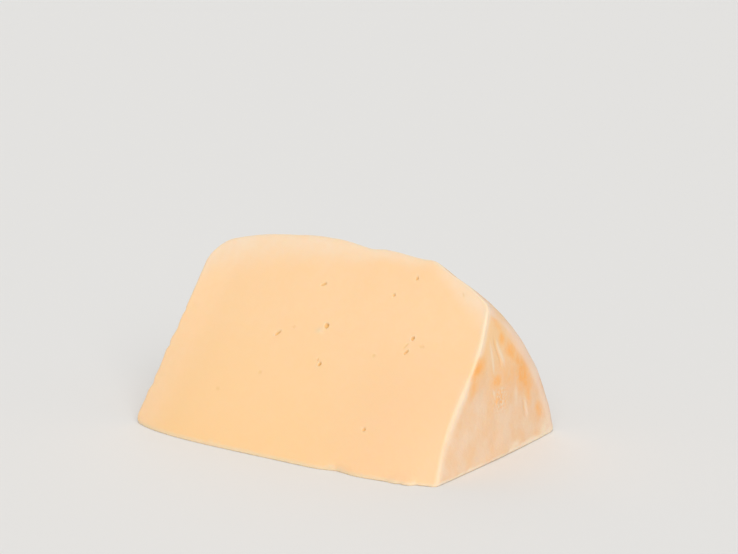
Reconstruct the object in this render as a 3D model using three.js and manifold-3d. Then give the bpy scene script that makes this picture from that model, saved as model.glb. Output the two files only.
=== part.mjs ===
// A wedge of sardo cheese, lying on one of its two cut faces.
// Millimetres, +Z up. X runs along the axis of the wheel that the wedge was cut from, Y goes back
// from the wedge's thin front edge, and the origin is the middle of its footprint on the table.

import * as THREE from "three";
import { ParametricGeometry } from "three/addons/geometries/ParametricGeometry.js";
import { mergeVertices } from "three/addons/utils/BufferGeometryUtils.js";
import Module from "manifold-3d";

// The wheel: a low drum with a bulging side, whose rim falls off towards both flat faces.
const WHEEL_HEIGHT = 115;
const WHEEL_RADIUS = 91.2;
const WIDEST_X = -19.5;
const RIM_LEFT = { drop: 6.2, power: 2.4, round: 7.5 };
const RIM_RIGHT = { drop: 14.5, power: 3.6, round: 2.5 };
const HALF = WHEEL_HEIGHT / 2;

// The two cuts: the wedge lies on the first, and the second leans back over it. They meet in the
// front edge, a little off the wheel's axis. The knife bowed that edge outwards, every edge is
// slightly rounded, and so are the front edge's two ends.
const CUT_ANGLE = THREE.MathUtils.degToRad(57.2);
const AXIS_Y = -3.6;
const AXIS_Z = -22.8;
const FRONT_BOW = 6.2;
const BOW_POWER = 4;
const EDGE_ROUND = 0.8;
const FRONT_CORNER = 0.8;

// The flat faces aren't quite square to the axis. The right one is dished beside the leaning cut and
// bulges beside the lower one. The left one's lower front corner is worn round.
const LEAN_LEFT = 0.08;
const LEAN_RIGHT = -0.036;
const DISH = { wave: 1.15, hollow: 0.3, bulge: 0.9, fade: 4 };
const WORN_CORNER = 2.8;

// Relief of the rind: pressed lumps, and a swell, a dip and a shoulder that fade away from the upper
// edge.
const LUMPS = { height: 0.35, length: 9, drift: 14, turns: 6, sway: 2, swayTurns: 3 };
const UPPER_EDGE = [
  { at: -11, height: 0.8, width: 12 },
  { at: 9, height: -0.9, width: 7 },
  { at: 33.6, height: 1.2, width: 4 },
];
const UPPER_FADE = 16;

// The cut edge of the left face flares out, and has bites and bumps at distances from the front
// edge. They fade behind the cut, and along the axis with a power of the place on it.
const FLARE = 0.4;
const NIBBLES = [
  { at: 39.4, height: 0.4, width: 1.2 },
  { at: 33, height: 0.36, width: 1.8 },
  { at: 29.5, height: -0.3, width: 1.7 },
  { at: 25, height: -0.32, width: 1.7 },
  { at: 19, height: 0.2, width: 2 },
  { at: 13.8, height: 0.52, width: 1.5 },
];
const NIBBLE_REACH = 3;
const NIBBLE_FADE = 12;

// How finely the surface is divided: around a section, and along the axis.
const AROUND = { bottom: 8, corner: 2, side: 18, front: 44 };
const ALONG = { cap: 6, edge: 2, rim: 4, body: 30 };

// The eyes that show on the leaning cut face: place along the axis and up the slope, then length,
// width and depth, and the angle of the long side to the axis in degrees.
const FRONT_EYES = [
  { along: -4, up: 57.5, length: 2.7, width: 1.2, depth: 1.1, turn: 20 },
  { along: -14, up: 39.5, length: 2.6, width: 1.1, depth: 1.2, turn: 45 },
  { along: 3.5, up: 44.5, length: 2.6, width: 2.0, depth: 1.6, turn: -30 },
  { along: 6.5, up: 32, length: 1.9, width: 1.5, depth: 1.4, turn: 30 },
  { along: 23.5, up: 57.5, length: 1.2, width: 1.1, depth: 1.0, turn: 0 },
  { along: 29.5, up: 63.5, length: 1.3, width: 1.2, depth: 1.1, turn: 60 },
  { along: 35.5, up: 44, length: 1.8, width: 1.4, depth: 1.2, turn: 20 },
  { along: 35, up: 39.5, length: 2.0, width: 0.9, depth: 0.9, turn: 55 },
  { along: 30.5, up: 14.5, length: 1.2, width: 1.0, depth: 1.0, turn: 0 },
];
// The eyes in the face it lies on: place along the axis and back from the front edge, and the rest
// as above.
const BASE_EYES = [
  { along: -14, back: 62, length: 2.2, width: 1.5, depth: 1.1, turn: 30 },
  { along: -4, back: 14, length: 1.6, width: 1.2, depth: 0.9, turn: 80 },
  { along: 3.5, back: 30, length: 2.4, width: 1.7, depth: 1.2, turn: -40 },
  { along: 6.5, back: 70, length: 1.5, width: 1.2, depth: 0.8, turn: 15 },
  { along: 23.5, back: 44, length: 1.3, width: 1.0, depth: 0.8, turn: 10 },
  { along: 30, back: 63, length: 1.8, width: 1.3, depth: 1.0, turn: 60 },
  { along: 35.5, back: 22, length: 1.4, width: 1.1, depth: 0.8, turn: -20 },
];
const EYE_FACETS = { around: 8, across: 5 };

const CHEESE = { color: 0xfdd4a2, roughness: 0.6, metalness: 0 };

const lerp = THREE.MathUtils.lerp;
const clamp01 = (t) => THREE.MathUtils.clamp(t, 0, 1);

// How much a quarter round of a given radius takes off at a distance from the edge it rounds.
function quarterRound(distance, radius) {
  const into = Math.max(0, radius - distance);
  return radius - Math.sqrt(Math.max(0, radius ** 2 - into ** 2));
}

const toEnd = (x) => HALF - Math.abs(x);

// Smooth swells and dips, each about its place on a line.
function swells(place, parts) {
  const swell = ({ at, height, width }) => height * Math.exp(-(((place - at) / width) ** 2));
  return parts.reduce((sum, part) => sum + swell(part), 0);
}

// Radius of the wheel at a place on its axis: the bulge falls off as a power of the distance from
// the widest ring, and a quarter round turns the rim into the flat face.
function wheelRadius(x) {
  const rim = x < WIDEST_X ? RIM_LEFT : RIM_RIGHT;
  const span = x < WIDEST_X ? HALF + WIDEST_X : HALF - WIDEST_X;
  const bulge = WHEEL_RADIUS - rim.drop * Math.abs((x - WIDEST_X) / span) ** rim.power;
  return bulge - quarterRound(toEnd(x), rim.round);
}

// Radius with the pressed lumps, which give way to the swells and the dip beside the upper edge.
function rindRadius(x, turn, upperTurn) {
  const near = Math.exp(-((((upperTurn - turn) * WHEEL_RADIUS) / UPPER_FADE) ** 2));
  const sway = LUMPS.sway * Math.sin(LUMPS.swayTurns * turn);
  const ripple = Math.sin(x / LUMPS.length + sway) * Math.cos(LUMPS.turns * turn + x / LUMPS.drift);
  return wheelRadius(x) + lerp(LUMPS.height * ripple, swells(x, UPPER_EDGE), near);
}

// How far a straight line at an angle from the front edge runs before it meets a given radius.
function reach(radius, angle) {
  const along = AXIS_Y * Math.cos(angle) + AXIS_Z * Math.sin(angle);
  const off = AXIS_Y ** 2 + AXIS_Z ** 2 - radius ** 2;
  return along + Math.sqrt(along ** 2 - off);
}

const onLine = (angle, length) => new THREE.Vector2(length, 0).rotateAround(new THREE.Vector2(), angle);
const turnOf = (p) => Math.atan2(p.y - AXIS_Z, p.x - AXIS_Y);

// How far back the front edge lies: bowed out, and rounded off at its two ends.
function frontEdge(x) {
  const bow = FRONT_BOW * (1 - Math.abs(x / HALF) ** BOW_POWER);
  return quarterRound(toEnd(x), FRONT_CORNER) - bow;
}

// The three corners of a section across the axis, and the arc of rind between two of them.
function sectionCorners(x) {
  const front = new THREE.Vector2(frontEdge(x), 0);
  const plainTop = onLine(CUT_ANGLE, reach(wheelRadius(x), CUT_ANGLE));
  const plainBack = onLine(0, reach(wheelRadius(x), 0));
  const upperTurn = turnOf(plainTop);
  const top = onLine(CUT_ANGLE, reach(rindRadius(x, upperTurn, upperTurn), CUT_ANGLE));
  const back = onLine(0, reach(rindRadius(x, turnOf(plainBack), upperTurn), 0));
  const rind = (turn) => {
    const radius = rindRadius(x, turn, upperTurn);
    return new THREE.Vector2(AXIS_Y + radius * Math.cos(turn), AXIS_Z + radius * Math.sin(turn));
  };
  return { front, top, back, rind, lowTurn: turnOf(back), highTurn: turnOf(top) };
}

// A corner rounded by a quadratic curve from one point to another about the sharp corner.
const rounded = (from, corner, to, t) => new THREE.QuadraticBezierCurve(from, corner, to).getPoint(t);
const towards = (from, to, length) => to.clone().sub(from).setLength(length).add(from);

// The point of a section on one of its six stretches, at t from 0 to 1, going round from the front
// edge along the bottom, up the rind and down the leaning cut.
function sectionPoint(stretch, t, x) {
  const { front, top, back, rind, lowTurn, highTurn } = sectionCorners(x);
  const slip = EDGE_ROUND / wheelRadius(x);
  switch (stretch) {
    case "bottom":
      return towards(front, back, EDGE_ROUND).lerp(towards(back, front, EDGE_ROUND), t);
    case "backCorner":
      return rounded(towards(back, front, EDGE_ROUND), back, rind(lowTurn + slip), t);
    case "side":
      return rind(lerp(lowTurn + slip, highTurn - slip, t));
    case "topCorner":
      return rounded(rind(highTurn - slip), top, towards(top, front, EDGE_ROUND), t);
    case "front":
      return towards(top, front, EDGE_ROUND).lerp(towards(front, top, EDGE_ROUND), t);
    default:
      return rounded(towards(front, top, EDGE_ROUND), front, towards(front, back, EDGE_ROUND), t);
  }
}

// The stretches in order, each with its number of steps.
const STRETCHES = [
  ["bottom", AROUND.bottom],
  ["backCorner", AROUND.corner],
  ["side", AROUND.side],
  ["topCorner", AROUND.corner],
  ["front", AROUND.front],
  ["frontCorner", AROUND.corner],
];
const STEPS_AROUND = STRETCHES.reduce((sum, [, steps]) => sum + steps, 0);

function stretchAt(index) {
  let left = index % STEPS_AROUND;
  for (const [name, steps] of STRETCHES) {
    if (left < steps) return { name, t: left / steps };
    left -= steps;
  }
}

// The stations along the axis: each flat face grows from its middle, turns over a small edge and
// then the quarter round of the rim, and the body runs between the two rims.
function axisStations() {
  const limit = HALF - EDGE_ROUND;
  const steps = (count, make) => Array.from({ length: count }, (_, i) => make(i));
  const quarter = (i, count) => (i / count) * (Math.PI / 2);
  const whole = (x) => ({ x, inset: 0, size: 1 });
  const rim = (round) => {
    const stations = steps(ALONG.rim, (i) => whole(HALF - round * (1 - Math.sin(quarter(i, ALONG.rim)))));
    return stations.filter((station) => station.x < limit);
  };
  const edge = steps(ALONG.edge + 1, (i) => {
    const turn = quarter(i, ALONG.edge);
    return { x: limit + EDGE_ROUND * Math.sin(turn), inset: EDGE_ROUND * (1 - Math.cos(turn)), size: 1 };
  });
  const cap = steps(ALONG.cap, (i) => ({ x: HALF, inset: EDGE_ROUND, size: 1 - (i + 1) / ALONG.cap }));
  const body = steps(ALONG.body - 1, (i) => {
    return whole(lerp(RIM_LEFT.round - HALF, HALF - RIM_RIGHT.round, (i + 1) / ALONG.body));
  });
  const left = [...rim(RIM_LEFT.round), ...edge, ...cap].map((s) => ({ ...s, x: -s.x })).reverse();
  return [...left, ...body, ...rim(RIM_RIGHT.round), ...edge, ...cap];
}
const STATIONS = axisStations();

// Shift along the axis that leans, dishes, nibbles and wears the flat faces: nothing at mid length,
// and all of it at the faces.
function faceShift(x, y, z) {
  const share = Math.abs(x / HALF);
  const out = Math.hypot(y, z);
  if (x < 0) {
    const worn = quarterRound(Math.hypot(y - frontEdge(x), z), WORN_CORNER);
    const behindCut = out * Math.sin(CUT_ANGLE - Math.atan2(z, y));
    const near = Math.exp(-((behindCut / NIBBLE_REACH) ** 2));
    const edge = near * (swells(out, NIBBLES) - FLARE);
    return share * LEAN_LEFT * out + share ** NIBBLE_FADE * (edge + worn);
  }
  const angle = clamp01(Math.atan2(z, y) / CUT_ANGLE);
  const t = clamp01(out / reach(wheelRadius(HALF), angle * CUT_ANGLE));
  const dish = DISH.wave * Math.sin(2 * Math.PI * t) + DISH.hollow * Math.sin(Math.PI * t);
  const bulge = DISH.bulge * Math.sin(Math.PI * t);
  return share * LEAN_RIGHT * out + share ** DISH.fade * lerp(bulge, -dish, angle);
}

// The whole skin as one function of two parameters: u goes round the section, v along the axis.
function skin(u, v, target) {
  const { x, inset, size } = STATIONS[Math.round(v * (STATIONS.length - 1))];
  const { name, t } = stretchAt(Math.round(u * STEPS_AROUND));
  const { front, top, back } = sectionCorners(x);
  const middle = front.clone().add(top).add(back).divideScalar(3);
  const p = sectionPoint(name, t, x);
  const fromMiddle = p.clone().sub(middle);
  const length = (fromMiddle.length() - inset) * size;
  p.copy(middle).add(fromMiddle.setLength(length));
  target.set(x + faceShift(x, p.x, p.y), p.x, p.y);
}

const wasm = await Module();
wasm.setup();

// A closed geometry as a solid: shared vertices are merged, and triangles that a pole or a seam
// has squeezed to nothing are dropped.
function toSolid(geometry) {
  const bare = geometry.clone();
  bare.deleteAttribute("normal");
  bare.deleteAttribute("uv");
  const merged = mergeVertices(bare, 1e-4);
  const index = merged.index.array;
  const kept = [];
  for (let i = 0; i < index.length; i += 3) {
    const [a, b, c] = index.subarray(i, i + 3);
    if (a !== b && b !== c && c !== a) kept.push(a, b, c);
  }
  const vertProperties = new Float32Array(merged.attributes.position.array);
  const mesh = new wasm.Mesh({ numProp: 3, vertProperties, triVerts: new Uint32Array(kept) });
  return new wasm.Manifold(mesh);
}

function toGeometry(solid) {
  const mesh = solid.getMesh();
  const geometry = new THREE.BufferGeometry();
  geometry.setAttribute("position", new THREE.BufferAttribute(mesh.vertProperties, 3));
  geometry.setIndex(new THREE.BufferAttribute(mesh.triVerts, 1));
  geometry.computeVertexNormals();
  return geometry;
}

// An eye: an ellipsoid sunk into a cut face, given by its middle, the face's two directions and
// its outward normal.
function eyeSolid({ length, width, depth, turn }, middle, alongFace, normal) {
  const ball = new THREE.SphereGeometry(1, EYE_FACETS.around, EYE_FACETS.across);
  const acrossFace = new THREE.Vector3().crossVectors(normal, alongFace);
  const frame = new THREE.Matrix4().makeBasis(alongFace, acrossFace, normal);
  const spin = new THREE.Matrix4().makeRotationZ(THREE.MathUtils.degToRad(turn));
  const stretch = new THREE.Matrix4().makeScale(length / 2, width / 2, depth);
  ball.applyMatrix4(stretch).applyMatrix4(spin).applyMatrix4(frame);
  ball.translate(middle.x, middle.y, middle.z);
  return toSolid(ball);
}

// The eyes of the leaning cut face, placed on the straight line from the bowed front edge to the
// upper edge.
function frontEyes() {
  const alongAxis = new THREE.Vector3(1, 0, 0);
  return FRONT_EYES.map((eye) => {
    const { front, top } = sectionCorners(eye.along);
    const p = towards(front, top, eye.up);
    const slope = top.clone().sub(front).normalize();
    const normal = new THREE.Vector3(0, -slope.y, slope.x);
    const x = eye.along + faceShift(eye.along, p.x, p.y);
    return eyeSolid(eye, new THREE.Vector3(x, p.x, p.y), alongAxis, normal);
  });
}

// The eyes of the face that the wedge lies on.
function baseEyes() {
  const alongAxis = new THREE.Vector3(1, 0, 0);
  const down = new THREE.Vector3(0, 0, -1);
  return BASE_EYES.map((eye) => eyeSolid(eye, new THREE.Vector3(eye.along, eye.back, 0), alongAxis, down));
}

// The wedge with its eyes cut out, moved so that the middle of its footprint is the origin.
function cheeseWedge() {
  const block = toSolid(new ParametricGeometry(skin, STEPS_AROUND, STATIONS.length - 1));
  const solid = [...frontEyes(), ...baseEyes()].reduce((left, eye) => left.subtract(eye), block);
  const geometry = toGeometry(solid);
  geometry.computeBoundingBox();
  const middle = geometry.boundingBox.getCenter(new THREE.Vector3());
  const mesh = new THREE.Mesh(geometry, new THREE.MeshStandardMaterial(CHEESE));
  mesh.name = "cheese_wedge";
  mesh.position.set(-middle.x, -middle.y, -geometry.boundingBox.min.z);
  return mesh;
}

const sardoWedge = new THREE.Group();
sardoWedge.name = "sardo_wedge";
sardoWedge.add(cheeseWedge());

export default sardoWedge;
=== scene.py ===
import math
from types import SimpleNamespace

import bpy
import numpy as np
from mathutils import Euler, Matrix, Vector


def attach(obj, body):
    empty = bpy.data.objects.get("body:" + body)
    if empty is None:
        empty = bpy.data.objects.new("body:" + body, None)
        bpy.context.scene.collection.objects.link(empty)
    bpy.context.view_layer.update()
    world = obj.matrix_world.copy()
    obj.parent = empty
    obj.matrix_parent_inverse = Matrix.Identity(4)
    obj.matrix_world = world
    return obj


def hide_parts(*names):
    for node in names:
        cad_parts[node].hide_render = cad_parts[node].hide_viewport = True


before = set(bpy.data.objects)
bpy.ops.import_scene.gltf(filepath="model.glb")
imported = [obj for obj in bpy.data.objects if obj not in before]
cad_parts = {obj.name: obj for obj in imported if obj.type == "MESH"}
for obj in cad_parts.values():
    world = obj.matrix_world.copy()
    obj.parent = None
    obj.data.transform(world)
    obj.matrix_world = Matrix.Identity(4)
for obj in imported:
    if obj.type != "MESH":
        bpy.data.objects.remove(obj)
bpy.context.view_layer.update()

bl_info = {
    "name": "Sardo Wedge",
    "version": (1, 0, 0),
    "blender": (4, 5, 0),
    "location": "View3D > Sidebar > Sardo",
    "description": "A wedge of sardo cheese lying on a cut face, with its stage",
    "category": "Mesh",
}

# The formulas below work in millimetres. In them s is the sizes, x a place along the wheel's axis, c the
# corners of the sections there, g the grid with the measures of its points, and n a material's nodes.
MM = 1000.0  # millimetres in a metre
FAR = 1000.0  # farther than any place on the wedge
TINY = 1e-9  # keeps a normal's length from zero
ORIGIN = (0.048, -39.351, 0)  # place of the formulas' origin, on the straight line of the front edge

# Powers with which the wheel's side falls from its widest ring, and the front edge's bow from mid length.
SIDE_POWER = SimpleNamespace(left=2.4, right=3.6)
BOW_POWER = 4

# Pressed lumps of the rind, a product of two waves: the length of a radian of each along the axis, waves
# of the second in a whole turn, and the first one's sway in radians with the sways in a whole turn.
LUMPS = SimpleNamespace(length=9, drift=14, turns=6, sway=2, sway_turns=3)

# Swells, dip and shoulder of the rind beside the upper edge: place along the axis, height and width.
UPPER_EDGE = ((-11, 0.8, 12), (9, -0.9, 7), (13.5, 0.4, 3), (33.6, 1.2, 4))
UPPER_FADE = 16  # how far down the rind they fade

# Bends of the flat faces: the lean of each, and the right one's wave and hollow beside the leaning cut
# and its bulge beside the base. Bends fade towards mid length with a power of the place on the axis.
LEAN = SimpleNamespace(left=0.08, right=-0.036)
DISH = SimpleNamespace(wave=1.15, hollow=0.3, bulge=0.9)
FADE_POWER = SimpleNamespace(left=12, right=4, back=8)
WORN_REACH = 4  # how far from the bulging side the back corners are worn

# Bites and bumps of the left cut edge: distance from the front edge, depth and width.
NIBBLES = (
    (39.4, 0.4, 0.9),
    (33, 0.36, 1.7),
    (29.3, -0.3, 1.6),
    (27.1, 0.35, 0.7),
    (25, -0.32, 1.5),
    (19, 0.2, 1.8),
    (13.8, 0.55, 1.3),
    (10.8, -0.15, 1.2),
    (8.4, 0.16, 1.2),
)
NIBBLE_REACH = 3  # how far behind the leaning cut they go

# Foot of the leaning cut: place along the axis, how far it lies back there, width, and reach up.
FOOT = ((26, 1.5, 4.5, 2.2), (48.5, -1.3, 3.5, 2.5), (47.7, 0.8, 0.8, 1.2), (51.9, 0.7, 0.7, 1.2))
# Reach of the foot's ragged relief, and the stretch of the axis over which it grows.
RAGGED_FOOT = 1.4
RAGGED_STRETCH = (38, 46)

# Eyes of the leaning cut: place along the axis and up the slope, length, width, depth, and the
# angle of the long side in degrees. Faint pits have a list of their own.
FRONT_EYES = (
    (-3.9, 57.8, 2.4, 1.0, 0.6, 20),
    (-13.8, 39.6, 2.3, 1.0, 0.8, 45),
    (3.5, 44.5, 2.0, 1.6, 0.9, -50),
    (6.5, 32, 1.5, 1.2, 0.9, 40),
    (23.5, 57.5, 1.1, 1.0, 0.6, 0),
    (29.4, 63.8, 1.1, 1.1, 0.7, 0),
    (35.4, 44.5, 1.4, 1.2, 0.9, 0),
    (34.8, 39.9, 1.7, 0.9, 0.7, 55),
    (30.5, 14.5, 1.1, 1.0, 0.6, 0),
)
FAINT_PITS = (
    (5.2, 33.3, 0.9, 0.8, 0.3, 0),
    (-8.5, 42.5, 1.6, 1.2, 0.1, 20),
    (-14, 26, 1.5, 1.2, 0.1, 0),
    (-27.5, 18.5, 1.6, 1.3, 0.08, 0),
    (24.5, 37.5, 1.4, 1.2, 0.1, 0),
    (34, 41.9, 2.2, 0.8, 0.15, 60),
    (39.5, 42.2, 1.6, 1.0, 0.15, 30),
    (47.5, 59.4, 1.0, 0.9, 0.25, 0),
)
# Eyes of the cut below: the second number is the distance back from the front edge's line.
BASE_EYES = (
    (-14, 62, 2.2, 1.5, 1.1, 30),
    (-4, 14, 1.6, 1.2, 0.9, 80),
    (3.5, 30, 2.4, 1.7, 1.2, -40),
    (6.5, 70, 1.5, 1.2, 0.8, 15),
    (23.5, 44, 1.3, 1.0, 0.8, 10),
    (30, 63, 1.8, 1.3, 1.0, 60),
    (35.5, 22, 1.4, 1.1, 0.8, -20),
)
# Every eye, in parts of its radius: raggedness of its outline, place and width of its lip, and where the
# painted shade of its floor fades. That painted shade is the base shade and a share of the depth.
EYE = SimpleNamespace(ragged=0.22, lip=1.3, lip_width=0.25, floor=(0.6, 1.15), shade=0.25, deepening=0.65)

# Pale crumbs of the leaning cut, by place along the axis and up the slope: ovals as below.
CRUMBS = (
    (24, 1.6, 1.4, 0.8, 0, 1),
    (27.5, 1.2, 1.2, 0.6, 0, 0.8),
    (-21.5, 1.2, 1.1, 0.7, 20, 0.9),
    (-18.5, 1.4, 0.9, 0.5, 30, 0.6),
    (1.8, 42.7, 1.4, 1.0, 20, 0.8),
)

# Marks of the right-hand rind, by distance back from the front edge's line and height: orange
# blotches, pale patches and a crumbly patch as ovals (two half widths, angle and strength), and
# creases and pale streaks as lines from one point to another.
RIGHT_MARKS = {
    "blotch": (
        (21.6, 29.2, 4.2, 2.6, 50, 1),
        (33.4, 41.2, 3.6, 1.4, -50, 0.7),
        (36.4, 35.8, 2.4, 1.6, -50, 1),
        (40.9, 31.2, 3.2, 2.7, -45, 1),
        (45.2, 27.6, 4.0, 2.5, -40, 0.8),
        (48.6, 22.6, 7.6, 4.5, -55, 1),
        (51.6, 16.1, 3.2, 1.8, -60, 0.7),
        (58.7, 9.9, 2.8, 2.1, -60, 0.9),
        (32.3, 23.8, 3.2, 2.6, 10, 1),
        (39, 24.5, 9, 4.5, -20, 0.5),
        (32.8, 19.6, 4.6, 3.6, 0, 0.3),
        (20, 25, 4, 2.2, 57, 0.6),
    ),
    "patch": ((43.1, 2, 2.4, 1.3, 10, 1), (62, 2.5, 3, 2, 60, 0.9), (44, 18.3, 1.0, 2.8, 0, 0.5)),
    "crumbly": ((34.5, 18, 3.6, 3.4, 0, 1),),
    "crease": ((31.2, 37.6, 35, 27.6), (47.6, 15.3, 49.8, 9)),
    "streak": (
        (29, 36.2, 30.4, 27),
        (32.9, 36.6, 36.6, 27.2),
        (29.6, 25, 31.5, 18.6),
        (48.7, 15.5, 50.9, 8.8),
    ),
}
# The rest of the rind has seeded draws from a rectangle: seed, two corners and number of blotches.
LEFT_FACE = (3, (16, 4), (62, 40), 10)
BULGING_SIDE = (4, (-50, 28), (50, 96), 40)
# Ranges of the draws: half lengths of the three kinds of oval, their half widths as a share, angles and
# strengths, and the lines' angles in radians and half lengths. A streak lies beside its crease.
DRAWN = SimpleNamespace(
    blotch=(2, 6),
    patch=(1, 3),
    crumbly=(2.5, 4),
    slimness=(0.4, 0.8),
    angle=(-80, -20),
    strength=(0.3, 0.9),
    line_angle=(0.8, 2.2),
    line_half=(3, 7),
    streak_beside=(1.3, 0.2),
)
DRAWN_INSIDE = (1, 6)  # distances from the rind's edges over which drawn marks begin
WANDER = SimpleNamespace(placed=0.7, drawn=1.2)  # how far noise shifts the marks
BROKEN = 0.4  # what noise adds to the distance from a drawn line, so that it breaks up

# Widths of a crease's groove, painted shade and raised shoulder, the shoulder's place, and a streak's width.
CREASE = SimpleNamespace(groove=0.42, crease_shade=0.4, shoulder=1, shoulder_width=0.5, streak=0.7)
LINE_FADE = 0.6  # what the ends of a crease or streak add to the distance from it

# Noises of the surface: distance between lumps, and seed. Each stands on a lattice of seeded numbers,
# this many along each side, which is turned off the part's axes.
NOISE = {
    "rind_coarse": (7, 1),
    "rind_fine": (2.6, 2),
    "paste": (5, 3),
    "rim": (7, 5),
    "foot": (2, 7),
    "crumbly": (1.3, 8),
    "ragged": (0.8, 9),
    "shift_u": (5, 11),
    "shift_v": (4, 12),
    "base_line": (2.4, 13),
    "broken": (3, 14),
}
LATTICE = 32
ASKEW = np.array(Euler((0.6, 0.9, 0.4)).to_matrix())

# Heights of the relief.
RELIEF = SimpleNamespace(
    rind_coarse=0.14,
    rind_fine=0.07,
    groove=0.3,
    shoulder=0.08,
    crumbly=0.2,
    paste=0.03,
    foot=0.06,
    right_foot=0.22,
    crumb=0.2,
    eye_lip=0.07,
)

# Cream lines along the edges, partly a real pale border and partly a painted highlight where the edges
# catch light; the line along the foot is a painted highlight only: the distances over which each fades,
# and its strength. Where a line differs low and high up the slope, the two values are low and high.
LINES = SimpleNamespace(
    high_up=(8, 28),
    right_end=(1, 4),
    broken=(0.15, 0.5),
    paste=(0.2, 1.1),
    right_start=0.2,
    right_width=(0.6, 2.2),
    right_strength=(0.4, 0.8),
    foot=(0.6, 1.3),
    # strength of the painted highlight on the eyes' lips
    lip=0.5,
    cut_start=0.8,
    cut_width=(1.8, 3.0),
    cut_strength=(0.34, 0.8),
    base=(0.6, 1.4),
    base_width=0.9,
    base_ragged=0.5,
    base_wider=0.8,
    base_back=(30, 55),
    streak=0.7,
)

# Pale band of paste below the rind: where it begins to fade, its width at the left end, the steps of its
# width along the axis (start, end and change), and a gap as a swell.
BAND_START = 0.5
BAND_WIDTH = 17
BAND_STEPS = ((-50, -10, -4), (-9, 17, -8), (36, 52, 5))
BAND_GAP = ((33, 0.6, 8),)

# Places of the other tints: the rim of the rind, the warmth of its upper part, the low paste, which gives
# way up the slope and along the axis, the paste at the left end, made brighter as painted light, the blush
# on the right, and the painted shade of the creases.
TINT = SimpleNamespace(
    rim=(0.2, 2.4),
    rim_left=0.5,
    rim_high=(30, 40),
    rim_narrower=1.2,
    rim_on_side=0.35,
    rim_ragged=2,
    warm_from=22,
    warm_over=14,
    warm_on_side=0.4,
    low=0.62,
    low_up=75,
    low_along=300,
    left_painted_light=(2, 20),
    blush_along=(5, 45),
    blush_up=(20, 55),
    crease_shade=0.5,
)

# Strengths of the material's layers and of its bump.
LAYER = SimpleNamespace(edge_on_paste=0.75, cloud=0.12, mottling=0.15, blotch=0.6, rim=0.8, crumb=0.6)
BUMP = SimpleNamespace(rind=1.8, cloud=0.5)

# Lines across the section and along the axis, stretch by stretch, and how much closer they stand at eyes.
AROUND = {"bottom": 56, "back_corner": 5, "side": 78, "top_corner": 5, "front": 142, "front_corner": 5}
ALONG = {"cap": 36, "edge": 4, "rim": 8, "body": 236}
CROWDING = SimpleNamespace(front=2.5, bottom=5, body=2.5)
EYE_BAND = 1.7  # half width of the band of close lines about an eye
FINE_POINTS = 8001  # points of the sum that places the lines

# The stage: half width of the floor in metres, azimuth and height of the two lights and their width in
# degrees, the camera's sensor, and the point that it looks at with its shifts to the right and up.
FLOOR_HALF = 15.0
KEY_LIGHT = (43, 35)
FILL_LIGHT = (-140, 45)
LIGHT_WIDTH = 50
SENSOR = 36
AIM = SimpleNamespace(point=(0, 22, 22), right=14.75, up=27.413)


def millimetres(sizes):
    """The sizes as plain numbers in millimetres, angles in radians."""
    lengths = {name: getattr(sizes, name) * MM for name in sizes.__annotations__ if name != "cut_angle"}
    return SimpleNamespace(**lengths, cut_angle=sizes.cut_angle, half=sizes.wheel_height * MM / 2)


def bell(distance, width):
    """Bell curve: e to the power of minus the square of distance over width."""
    return np.exp(-((distance / width) ** 2))


def smooth_step(value, low, high):
    """S-curve from 0 at low to 1 at high: three squares less two cubes of the share between them."""
    t = np.clip((value - low) / (high - low), 0, 1)
    return t * t * (3 - 2 * t)


def fading(value, low, high):
    """S-curve from 1 at low to 0 at high."""
    return 1 - smooth_step(value, low, high)


def blended(low, high, t):
    """Straight line from low, where t is 0, to high, where t is 1."""
    return low + (high - low) * t


def turned(u, v, degrees):
    """Places measured along and across a direction that is turned by an angle."""
    a = math.radians(degrees)
    return u * math.cos(a) + v * math.sin(a), v * math.cos(a) - u * math.sin(a)


def quarter_round(distance, radius):
    """How much a quarter round takes off at a distance from the edge it rounds: the gap between a
    circle of that radius and its tangent."""
    into = np.maximum(0, radius - distance)
    return radius - np.sqrt(np.maximum(0, radius**2 - into**2))


def swells(place, parts):
    """Sum of bell curves, each with its place, height and width."""
    return sum(height * bell(place - middle, width) for middle, height, width in parts)


def ovals(u, v, parts):
    """The strongest of several soft ovals: each is a product of bell curves in two turned directions."""
    mask = np.zeros_like(u)
    for middle_u, middle_v, half_length, half_width, turn, peak in parts:
        along, across = turned(u - middle_u, v - middle_v, turn)
        mask = np.maximum(mask, peak * bell(along, half_length) * bell(across, half_width))
    return mask


def line_distance(u, v, parts):
    """Distance to the nearest of several straight lines, counted larger towards a line's ends, so that
    what follows the distance fades there."""
    nearest = np.full_like(u, FAR)
    for u0, v0, u1, v1 in parts:
        square = (u1 - u0) ** 2 + (v1 - v0) ** 2
        t = np.clip(((u - u0) * (u1 - u0) + (v - v0) * (v1 - v0)) / square, 0, 1)
        beside = np.hypot(u - u0 - t * (u1 - u0), v - v0 - t * (v1 - v0))
        nearest = np.minimum(nearest, beside + LINE_FADE * (2 * t - 1) ** 4)
    return nearest


def wheel_radius(s, x):
    """Radius of the wheel: the widest ring less a drop that grows as a power of the distance from
    that ring, less the quarter round of the rim."""
    left = x < s.widest_x
    drop = np.where(left, s.left_drop, s.right_drop)
    power = np.where(left, SIDE_POWER.left, SIDE_POWER.right)
    span = np.where(left, s.half + s.widest_x, s.half - s.widest_x)
    bulge = s.wheel_radius - drop * np.abs((x - s.widest_x) / span) ** power
    return bulge - quarter_round(s.half - np.abs(x), np.where(left, s.left_round, s.right_round))


def rind_radius(s, x, turn, upper_turn):
    """Radius with pressed lumps, a product of two waves, which give way to the swells and the
    dip beside the upper edge."""
    near = bell((upper_turn - turn) * s.wheel_radius, UPPER_FADE)
    sway = LUMPS.sway * np.sin(LUMPS.sway_turns * turn)
    ripple = np.sin(x / LUMPS.length + sway) * np.cos(LUMPS.turns * turn + x / LUMPS.drift)
    return wheel_radius(s, x) + blended(s.lump_height * ripple, swells(x, UPPER_EDGE), near)


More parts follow.
